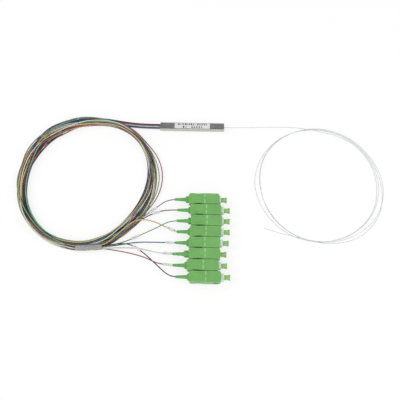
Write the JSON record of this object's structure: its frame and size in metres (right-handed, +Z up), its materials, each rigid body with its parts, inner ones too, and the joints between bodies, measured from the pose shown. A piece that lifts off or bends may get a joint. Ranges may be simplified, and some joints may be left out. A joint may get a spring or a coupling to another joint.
{
  "type": "fibre optic splitter",
  "caption": "Optical splitter in a slim steel tube, with a bare input fibre and coiled coloured output fibres that end in angled push-pull plugs with dust caps.",
  "frame": {"origin": "middle of the underside of the splitter's steel tube", "axes": "+X along the tube towards the input fibre, +Z up; the plugs point along +X"},
  "size_m": [0.3052, 0.1471, 0.0082],
  "materials": {
    "steel": "drawn stainless steel, satin, fine lines along its length",
    "label": "white matt film",
    "end_plug": "dark potting resin",
    "glass_chip": "ground and polished glass",
    "bare_fibre": "coated bare fibre",
    "green_grip": "moulded green, satin",
    "green_frame": "moulded pale green, satin",
    "ceramic": "polished white ceramic",
    "dust_cap": "soft moulded green",
    "fibre_slate": "slate fibre tube, slightly glossy",
    "fibre_brown": "brown fibre tube, slightly glossy",
    "fibre_green": "green fibre tube, slightly glossy",
    "fibre_orange": "orange fibre tube, slightly glossy",
    "fibre_blue": "blue fibre tube, slightly glossy",
    "fibre_white": "white fibre tube, slightly glossy",
    "fibre_red": "red fibre tube, slightly glossy",
    "fibre_black": "black fibre tube, slightly glossy",
    "spring_steel": "bright wire",
    "stop_metal": "moulded green, satin",
    "boot": "soft moulded green",
    "tag": "milky sleeve",
    "coil_bundle": "wound fibre tubes of eight colours",
    "input_jacket": "pale fibre, slightly glossy"
  },
  "bodies": {
    "module": {"module_tube": "steel", "module_label": "label", "input_end_plug": "end_plug", "output_end_plug": "end_plug", "splitter_chip": "glass_chip", "input_fibre_block": "glass_chip", "output_fibre_block": "glass_chip", "bare_input_fibre": "bare_fibre", "output_ribbon": "bare_fibre", "plug_frame_1": "green_frame", "output_fibre_1": "fibre_slate", "plug_frame_2": "green_frame", "output_fibre_2": "fibre_brown", "plug_frame_3": "green_frame", "output_fibre_3": "fibre_green", "plug_frame_4": "green_frame", "output_fibre_4": "fibre_orange", "plug_frame_5": "green_frame", "output_fibre_5": "fibre_blue", "plug_frame_6": "green_frame", "output_fibre_6": "fibre_white", "plug_frame_7": "green_frame", "output_fibre_7": "fibre_red", "plug_frame_8": "green_frame", "output_fibre_8": "fibre_black", "stop_bodies": "stop_metal", "boots": "boot", "number_tags": "tag", "output_coil": "coil_bundle", "input_fibre": "input_jacket", "input_coil": "input_jacket", "ferrule_springs": "spring_steel"},
    "grip_1": {"connector_grip_1": "green_grip"},
    "ferrule_1": {"ferrule_1": "ceramic"},
    "cap_1": {"dust_cap_1": "dust_cap"},
    "grip_2": {"connector_grip_2": "green_grip"},
    "ferrule_2": {"ferrule_2": "ceramic"},
    "cap_2": {"dust_cap_2": "dust_cap"},
    "grip_3": {"connector_grip_3": "green_grip"},
    "ferrule_3": {"ferrule_3": "ceramic"},
    "cap_3": {"dust_cap_3": "dust_cap"},
    "grip_4": {"connector_grip_4": "green_grip"},
    "ferrule_4": {"ferrule_4": "ceramic"},
    "cap_4": {"dust_cap_4": "dust_cap"},
    "grip_5": {"connector_grip_5": "green_grip"},
    "ferrule_5": {"ferrule_5": "ceramic"},
    "cap_5": {"dust_cap_5": "dust_cap"},
    "grip_6": {"connector_grip_6": "green_grip"},
    "ferrule_6": {"ferrule_6": "ceramic"},
    "cap_6": {"dust_cap_6": "dust_cap"},
    "grip_7": {"connector_grip_7": "green_grip"},
    "ferrule_7": {"ferrule_7": "ceramic"},
    "cap_7": {"dust_cap_7": "dust_cap"},
    "grip_8": {"connector_grip_8": "green_grip"},
    "ferrule_8": {"ferrule_8": "ceramic"},
    "cap_8": {"dust_cap_8": "dust_cap"}
  },
  "joints": [
    {"name": "grip_slide_1", "type": "slide", "parent": "module", "child": "grip_1", "axis": [1, 0, 0], "range_m": [-0.0012, 0.0012]},
    {"name": "ferrule_push_1", "type": "slide", "parent": "module", "child": "ferrule_1", "axis": [1, 0, 0], "range_m": [-0.001, 0], "stiffness_N_per_m": 1500, "springref_m": 0.004, "deforming": ["ferrule_springs"]},
    {"name": "dust_cap_pull_1", "type": "slide", "parent": "ferrule_1", "child": "cap_1", "axis": [1, 0, 0], "range_m": [0, 0.01]},
    {"name": "grip_slide_2", "type": "slide", "parent": "module", "child": "grip_2", "axis": [1, 0, 0], "range_m": [-0.0002, 0.0022]},
    {"name": "ferrule_push_2", "type": "slide", "parent": "module", "child": "ferrule_2", "axis": [1, 0, 0], "range_m": [-0.001, 0], "stiffness_N_per_m": 1500, "springref_m": 0.004, "deforming": ["ferrule_springs"]},
    {"name": "dust_cap_pull_2", "type": "slide", "parent": "ferrule_2", "child": "cap_2", "axis": [1, 0, 0], "range_m": [0, 0.01]},
    {"name": "grip_slide_3", "type": "slide", "parent": "module", "child": "grip_3", "axis": [1, 0, 0], "range_m": [-0.0009, 0.0015]},
    {"name": "ferrule_push_3", "type": "slide", "parent": "module", "child": "ferrule_3", "axis": [1, 0, 0], "range_m": [-0.001, 0], "stiffness_N_per_m": 1500, "springref_m": 0.004, "deforming": ["ferrule_springs"]},
    {"name": "dust_cap_pull_3", "type": "slide", "parent": "ferrule_3", "child": "cap_3", "axis": [1, 0, 0], "range_m": [0, 0.01]},
    {"name": "grip_slide_4", "type": "slide", "parent": "module", "child": "grip_4", "axis": [1, 0, 0], "range_m": [-0.0001, 0.0023]},
    {"name": "ferrule_push_4", "type": "slide", "parent": "module", "child": "ferrule_4", "axis": [1, 0, 0], "range_m": [-0.001, 0], "stiffness_N_per_m": 1500, "springref_m": 0.004, "deforming": ["ferrule_springs"]},
    {"name": "dust_cap_pull_4", "type": "slide", "parent": "ferrule_4", "child": "cap_4", "axis": [1, 0, 0], "range_m": [0, 0.01]},
    {"name": "grip_slide_5", "type": "slide", "parent": "module", "child": "grip_5", "axis": [1, 0, 0], "range_m": [-0.0002, 0.0022]},
    {"name": "ferrule_push_5", "type": "slide", "parent": "module", "child": "ferrule_5", "axis": [1, 0, 0], "range_m": [-0.001, 0], "stiffness_N_per_m": 1500, "springref_m": 0.004, "deforming": ["ferrule_springs"]},
    {"name": "dust_cap_pull_5", "type": "slide", "parent": "ferrule_5", "child": "cap_5", "axis": [1, 0, 0], "range_m": [0, 0.01]},
    {"name": "grip_slide_6", "type": "slide", "parent": "module", "child": "grip_6", "axis": [1, 0, 0], "range_m": [-0.0023, 0.0001]},
    {"name": "ferrule_push_6", "type": "slide", "parent": "module", "child": "ferrule_6", "axis": [1, 0, 0], "range_m": [-0.001, 0], "stiffness_N_per_m": 1500, "springref_m": 0.004, "deforming": ["ferrule_springs"]},
    {"name": "dust_cap_pull_6", "type": "slide", "parent": "ferrule_6", "child": "cap_6", "axis": [1, 0, 0], "range_m": [0, 0.01]},
    {"name": "grip_slide_7", "type": "slide", "parent": "module", "child": "grip_7", "axis": [1, 0, 0], "range_m": [-0.0004, 0.002]},
    {"name": "ferrule_push_7", "type": "slide", "parent": "module", "child": "ferrule_7", "axis": [1, 0, 0], "range_m": [-0.001, 0], "stiffness_N_per_m": 1500, "springref_m": 0.004, "deforming": ["ferrule_springs"]},
    {"name": "dust_cap_pull_7", "type": "slide", "parent": "ferrule_7", "child": "cap_7", "axis": [1, 0, 0], "range_m": [0, 0.01]},
    {"name": "grip_slide_8", "type": "slide", "parent": "module", "child": "grip_8", "axis": [1, 0, 0], "range_m": [0, 0.0024]},
    {"name": "ferrule_push_8", "type": "slide", "parent": "module", "child": "ferrule_8", "axis": [1, 0, 0], "range_m": [-0.001, 0], "stiffness_N_per_m": 1500, "springref_m": 0.004, "deforming": ["ferrule_springs"]},
    {"name": "dust_cap_pull_8", "type": "slide", "parent": "ferrule_8", "child": "cap_8", "axis": [1, 0, 0], "range_m": [0, 0.01]}
  ]
}
